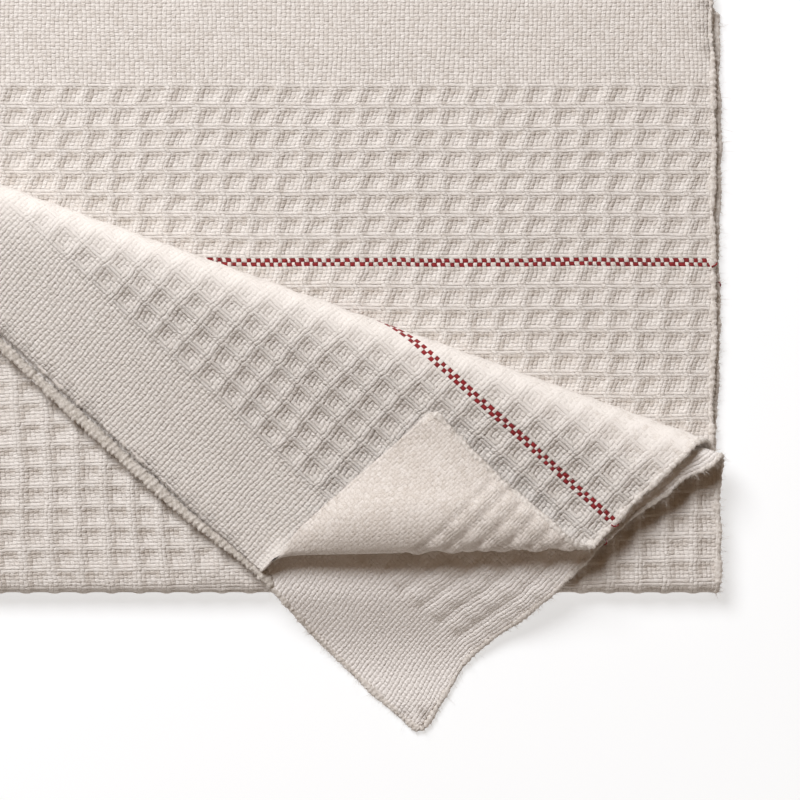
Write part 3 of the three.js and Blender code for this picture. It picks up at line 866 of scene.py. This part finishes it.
def yarn_height(side, end, pick, across_u, across_v, loose):
    """How high the upper yarn stands over the sheet's middle. Yarns bend over and under each other."""
    threads = ((end, pick), (end + across_u.math("SIGN"), pick), (end, pick + across_v.math("SIGN")))
    here, beside, beyond = [(warp_is_up(e, p, loose) * 2 - 1) * side for e, p in threads]
    turn_v = (here - beyond).math("ABSOLUTE") * 0.5 * (across_v * across_v * 4)
    turn_u = (here - beside).math("ABSOLUTE") * 0.5 * (across_u * across_u * 4)
    tightness = waffle_share(end, pick) * (1 - PLAIN_BEND) + PLAIN_BEND
    warp_bend = here * (1 - turn_v) * tightness
    weft_bend = -here * (1 - turn_u) * tightness
    warp = yarn_round(across_u, WARP["half_width"]) * WARP["thickness"] + warp_bend * WARP["bend"]
    weft = yarn_round(across_v, WEFT["half_width"]) * WEFT["thickness"] + weft_bend * WEFT["bend"]
    return warp.math("MAXIMUM", weft)


def red_share(look, u, end, pick, uneven):
    """How much of a place a red pick covers. A red thread goes over one end and under the next."""
    dash = ((u - 0.5 + pick) * math.pi).math("COSINE") * look["side"]
    over = dash.over(uneven * RED_LOOK["uneven"] + RED_LOOK["least"])
    inside = in_range(end, STRIPE_MARGIN, ENDS - STRIPE_MARGIN - 1)
    return over * stripe_share(pick) * inside * RED_LOOK["share"]


def swayed(tree, u, v):
    """The same place in threads, with the small waves of yarns that don't run straight"""
    u = u + (noise(tree, vector(tree, u, v), *SWAY_GRAIN) - 0.5) * SWAY_U
    return u, v + (noise(tree, vector(tree, v, u, 7.0), *SWAY_GRAIN) - 0.5) * SWAY_V


def cotton_cloth(name, look):
    """Woven cotton. Threads are told apart by their numbers, which the map Threads carries."""
    material, tree, shader = new_material(name, 0.92)
    u, v = [place * THREADS_MAP for place in read_map(tree, "Threads")]
    # The flap's fold, which draws the relief flatter and sets a painted highlight along it, and how loose
    # the cloth lies
    drawn, loose = read_map(tree, "FoldHighlightAndLoose")
    # The painted shade in the lee of the pressed cells' ridges and ribs, and the painted highlight on their
    # ridges
    hollow_shade = read_map(tree, "HollowShades")[0] * 2 - 1
    flat = vector(tree, u, v)
    fibres, blotches = noise(tree, flat, *FIBRE_GRAIN), noise(tree, flat, *BLOTCH_GRAIN)
    u, v = swayed(tree, u, v)
    end, pick = u.math("FLOOR"), v.math("FLOOR")
    height = yarn_height(look["side"], end, pick, u - end - 0.5, v - pick - 0.5, loose)
    uneven = chance(tree, end, pick)
    band = 1 - waffle_share(end, pick)
    firmness = pair(look["firmness"], loose) * (1 - drawn * FIRMNESS_LOSS["drawn"])
    firmness = firmness * (1 - band * loose * FIRMNESS_LOSS["band"])
    # Painted shade between the yarns, darker where a yarn dips under another
    painted_gap_shade = (1 - height.ramp(-0.1, 0.6)) * firmness * pair(look["depth"], loose)
    lit = pair(look["light"], loose) - painted_gap_shade * SHADING["painted_gap_shade"] + (fibres - 0.5) * SHADING["fibres"]
    # Lighter along the flap's fold, a painted highlight; darker in the lee of the pressed cells' ridges and
    # ribs, a painted shade, and lighter on their ridges, a painted highlight
    lit = lit - uneven * pair(UNEVEN_SHADE, loose) + drawn * SHADING["drawn"]
    lit = lit - hollow_shade * SHADING["hollow_shade"] - band * (1 - loose) * look["band_shade"]
    base = mix_colour(tree, lit, COTTON_SHADE, look["colour"])
    base = mix_colour(tree, blotches.ramp(0.35, 0.7) * SHADING["blotches"], base, COTTON_BLOTCH)
    red_lit = height.ramp(0.1, 0.8) * RED_LOOK["relief"] + (fibres - 0.4) * RED_LOOK["fibres"]
    thread = mix_colour(tree, red_lit - uneven * RED_LOOK["shade"], RED_SHADE, RED_YARN)
    base = mix_colour(tree, red_share(look, u, end, pick, uneven), base, thread)
    tree.links.new(base, shader.inputs["Base Color"])
    relief = height + fibres * FIBRE_RELIEF + uneven * pair(UNEVEN_RELIEF, loose)
    add_bump(tree, shader, relief * firmness, BUMP_STRENGTH, look["bump"])
    return material


def new_material(name, roughness):
    material = bpy.data.materials.new(name)
    material.use_nodes = True
    tree = material.node_tree
    shader = tree.nodes["Principled BSDF"]
    shader.inputs["Roughness"].default_value = roughness
    shader.inputs["Specular IOR Level"].default_value = 0.2
    shader.inputs["Sheen Weight"].default_value = 0.08
    shader.inputs["Sheen Roughness"].default_value = 0.6
    return material, tree, shader


def add_bump(tree, shader, height, strength, distance):
    node = tree.nodes.new("ShaderNodeBump")
    node.inputs["Strength"].default_value = strength
    node.inputs["Distance"].default_value = distance
    tree.links.new(height.socket, node.inputs["Height"])
    tree.links.new(node.outputs[0], shader.inputs["Normal"])


def cut_edge(name, dark, light):
    """Fuzzy cotton for the cloth's edges and for loose fibres"""
    material, tree, shader = new_material(name, 0.95)
    where = tree.nodes.new("ShaderNodeTexCoord").outputs["Object"]
    fuzz = noise(tree, where, *FUZZ_GRAIN)
    base = mix_colour(tree, fuzz.ramp(0.3, 0.7), dark, light)
    tree.links.new(base, shader.inputs["Base Color"])
    add_bump(tree, shader, fuzz, *FUZZ_BUMP)
    return material


def add_object(name, data):
    thing = bpy.data.objects.new(name, data)
    bpy.context.scene.collection.objects.link(thing)
    return thing


def edge_frame(side):
    """Maps a run along one edge to the cloth: side is the axis held and the edge's place on it."""
    axis, at = side
    inward = 1 if at == 0 else -1

    def point(run, depth, height):
        across = at + inward * depth
        u, v = (across, run) if axis == "u" else (run, across)
        return laid(u, v) + face_direction(u, v) * np.asarray(height)[..., None]

    return point


def ring_faces(count, around):
    """The faces between rings of points, as rows of four corners"""
    level, m = np.meshgrid(np.arange(count - 1), np.arange(around), indexing="ij")
    n = (m + 1) % around
    corners = (level * around + m, level * around + n, (level + 1) * around + n, (level + 1) * around + m)
    return np.stack(corners, axis=-1).reshape(-1, 4)


def tube_mesh(name, rings):
    """A closed tube from rings of points"""
    count, around = rings.shape[:2]
    points = np.concatenate((rings.reshape(-1, 3), rings[:1].mean(1), rings[-1:].mean(1)))
    faces = ring_faces(count, around).tolist()
    first, last, last_ring = count * around, count * around + 1, (count - 1) * around
    for m in range(around):
        n = (m + 1) % around
        faces.append((first, n, m))
        faces.append((last, last_ring + m, last_ring + n))
    return mesh_from(name, points, faces)


def edge_tube(name, side, start, stop, shape):
    """A stitched roll round one edge of the cloth, with the relief of the thread that binds it"""
    depth, half_width, half_height, pitch, slant, groove, step, lift = shape
    rng = np.random.default_rng(sum(map(ord, name)))
    run = np.arange(start + TIP_GAP, stop - TIP_GAP + step / 2, step)
    angle = np.arange(EDGE_SIDES) * 2 * math.pi / EDGE_SIDES
    run_grid, angle_grid = np.meshgrid(run, angle, indexing="ij")
    from_tip = np.minimum(run - start, stop - run) / (half_width * TIP_TAPER)
    taper = np.sqrt(np.clip(from_tip, TIP_THINNEST, 1))[:, None]
    knots = np.arange(start, stop + 4, LUMP_PITCH)
    lumps = np.interp(run, knots, rng.normal(0, LUMPS, len(knots)))
    stitches = np.repeat(rng.normal(0, STITCHES, len(run) // 3 + 2), 3)[:len(run)]
    fuzzy = rng.normal(0, FUZZ, run_grid.shape)
    turn = run_grid / pitch + angle_grid * slant / (2 * math.pi)
    grooves = groove * (np.abs(np.sin(math.pi * turn)) - GROOVE_MEAN)
    swell = 1 + grooves + (stitches + lumps)[:, None] + fuzzy
    into_cloth = half_width * (np.cos(angle_grid) * swell + depth) * taper
    rings = edge_frame(side)(run_grid, into_cloth, half_height * np.sin(angle_grid) * taper * swell)
    rings[..., 2] += lift
    return tube_mesh(name, rings)


def across_directions(forward, guess):
    """Two directions that are square to forward and to each other"""
    side_a = np.cross(forward, guess)
    side_a /= np.linalg.norm(side_a, axis=-1, keepdims=True)
    return side_a, np.cross(forward, side_a)


def red_tail(name, side_u, at_v):
    """The end of a red thread, where it turns back round the selvage"""
    turn = np.linspace(-TAIL["turn"], TAIL["turn"], TAIL["points"])
    run = at_v + TAIL["run"] * np.sin(turn * TAIL["bend"])
    into_cloth = TAIL["inset"] - TAIL["reach"] * np.cos(turn)
    line = edge_frame(("u", side_u))(run, into_cloth, TAIL["rise"] * np.sin(turn))
    forward = np.gradient(line, axis=0)
    forward /= np.linalg.norm(forward, axis=-1, keepdims=True)
    side_a, side_b = across_directions(forward, (0.31, 0.83, 0.46))
    angle = (np.arange(TAIL["sides"]) * 2 * math.pi / TAIL["sides"])[None, :, None]
    ring = side_a[:, None] * np.cos(angle) + side_b[:, None] * np.sin(angle)
    return tube_mesh(name, line[:, None] + TAIL["radius"] * ring)


def edge_fibres(rng, side, start, stop, shape):
    """Short hairs of cotton that stand out all round one edge, as rings of points along each"""
    depth, half_width, half_height = shape[0] * shape[1], shape[1], shape[2]
    full = WIDTH if side[0] == "v" else LENGTH
    count = int((stop - start) * FIBRE["per_mm"])
    run = rng.uniform(max(start, 1), min(stop, full - 1), count)
    angle = rng.uniform(-FIBRE["turn"], FIBRE["turn"], count)
    reach = rng.uniform(*FIBRE["reach"], count)[:, None, None]
    point = edge_frame(side)
    root, out = [
        point(run, depth - half_width * np.cos(angle) * far, half_height * np.sin(angle) * far)
        for far in (FIBRE["root"], FIBRE["out"])
    ]
    out -= root
    out /= np.linalg.norm(out, axis=-1, keepdims=True)
    drift = rng.normal(0, FIBRE["drift"], (count, 3))
    curl = rng.normal(0, FIBRE["curl"], (count, 3))[:, None]
    share = np.linspace(0, 1, FIBRE["steps"] + 1)[None, :, None]
    line = root[:, None] + reach * (share * (out + drift)[:, None] + share ** 2 * curl * 0.5)
    line[..., 2] = np.maximum(line[..., 2], FIBRE["lowest"])
    side_a, side_b = across_directions(out, rng.normal(0, 1, (count, 3)))
    angles = (np.arange(FIBRE["sides"]) * 2 * math.pi / FIBRE["sides"])[None, None, :, None]
    ring = side_a[:, None, None] * np.cos(angles) + side_b[:, None, None] * np.sin(angles)
    taper = np.linspace(1, FIBRE["tip"], FIBRE["steps"] + 1)[None, :, None, None]
    return line[:, :, None] + FIBRE["radius"] * taper * ring


def fibre_mesh(name):
    """All the loose fibres round the cloth, as one mesh"""
    rng = np.random.default_rng(FIBRE["seed"])
    hairs = np.concatenate([edge_fibres(rng, *edge[1:]) for edge in EDGES])
    count, levels, around = hairs.shape[:3]
    points = hairs.reshape(-1, 3)
    first = np.arange(count)[:, None, None] * levels * around
    return mesh_from(name, points, (ring_faces(levels, around) + first).reshape(-1, 4).tolist())


def add_camera():
    """A camera straight above the photo's middle, with the photo's scale"""
    camera = bpy.data.cameras.new("camera")
    half = PHOTO_SIZE * PHOTO_SCALE / 2
    camera.sensor_width = SENSOR
    camera.lens = SENSOR / 2 * (CAMERA_HEIGHT - SCALE_HEIGHT) / half
    thing = add_object("camera", camera)
    thing.location = (-CENTRE[0] * MM, -CENTRE[1] * MM, CAMERA_HEIGHT * MM)
    bpy.context.scene.camera = thing


def add_light(name, direction, distance, size, power, colour):
    """A round lamp that looks at the cloth from a direction and a distance in metres"""
    light = bpy.data.lights.new(name, "AREA")
    light.shape = "DISK"
    light.size = size
    light.energy = power
    light.color = colour
    thing = add_object(name, light)
    towards = Vector(direction).normalized()
    thing.location = towards * distance
    thing.rotation_euler = towards.to_track_quat("Z", "Y").to_euler()


def floor_mesh():
    """A round studio floor that sweeps up into a low wall, far from the cloth"""
    angle = np.arange(FLOOR_SIDES) * 2 * math.pi / FLOOR_SIDES
    rise = np.linspace(0, math.pi / 2, SWEEP_STEPS)[:, None]
    radius = FLOOR_REACH + SWEEP_RADIUS * np.sin(rise)
    height = SWEEP_RADIUS * (1 - np.cos(rise)) - FLOOR_GAP
    places = np.broadcast_arrays(radius * np.cos(angle), radius * np.sin(angle), height)
    sweep = ring_faces(SWEEP_STEPS, FLOOR_SIDES)[:, ::-1].tolist()
    mesh = bpy.data.meshes.new("floor")
    points = np.stack(places, axis=-1).reshape(-1, 3).tolist()
    mesh.from_pydata(points, [], [tuple(range(FLOOR_SIDES))] + sweep)
    mesh.polygons.foreach_set("use_smooth", np.array([False] + [True] * len(sweep)))
    return mesh


def add_stage():
    """The studio: a light floor, and a dim warm world that fills the shadows"""
    floor = add_object("floor", floor_mesh())
    material, _, shader = new_material("floor", 0.6)
    shader.inputs["Base Color"].default_value = (*FLOOR_COLOUR, 1)
    shader.inputs["Emission Color"].default_value = (1, 1, 1, 1)
    shader.inputs["Emission Strength"].default_value = FLOOR_GLOW
    floor.data.materials.append(material)
    world = bpy.data.worlds.new("studio")
    world.use_nodes = True
    background = world.node_tree.nodes["Background"]
    background.inputs["Color"].default_value = WORLD_COLOUR
    background.inputs["Strength"].default_value = WORLD_STRENGTH
    bpy.context.scene.world = world


def add_edge_pieces():
    """The rolls along the edges, the loose fibres and the red threads' ends"""
    edge_material = cut_edge("cotton_edge_yarn", EDGE_DARK, EDGE_LIGHT)
    # The roll under the flap's upper layer gets darker yarn: a painted shadow of that layer
    shadowed_hem_material = cut_edge("cotton_hem_yarn_painted_shadow", SHADOWED_HEM_DARK, SHADOWED_HEM_LIGHT)
    red_material = cut_edge("red_yarn", RED_SHADE, RED_YARN)
    pieces = [add_object(edge[0], edge_tube(*edge)) for edge in EDGES]
    pieces.append(add_object("loose_fibres", fibre_mesh("loose_fibres")))
    for piece in pieces:
        # The roll under the flap gets the darker yarn, its painted shadow
        piece.data.materials.append(shadowed_hem_material if piece.name == "hem_under" else edge_material)
    for k, (side_u, at_v) in enumerate(RED_TAILS):
        name = "red_tail_%d" % k
        pieces.append(add_object(name, red_tail(name, side_u, at_v)))
        pieces[-1].data.materials.append(red_material)
    return pieces


add_camera()
add_stage()
add_light("key", **KEY)
bpy.context.scene.view_settings.view_transform = "Standard"

cloth = add_object("cloth", cloth_mesh())
cloth.data.materials.append(cotton_cloth("cotton_face", FACE))
cloth.data.materials.append(cotton_cloth("cotton_back", BACK))
cloth.data.materials.append(cut_edge("cotton_edge", EDGE_DARK, EDGE_LIGHT))
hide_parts("floor_cloth")
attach(cloth, "root")

edge_pieces = add_edge_pieces()
for piece in edge_pieces:
    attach(piece, "root")
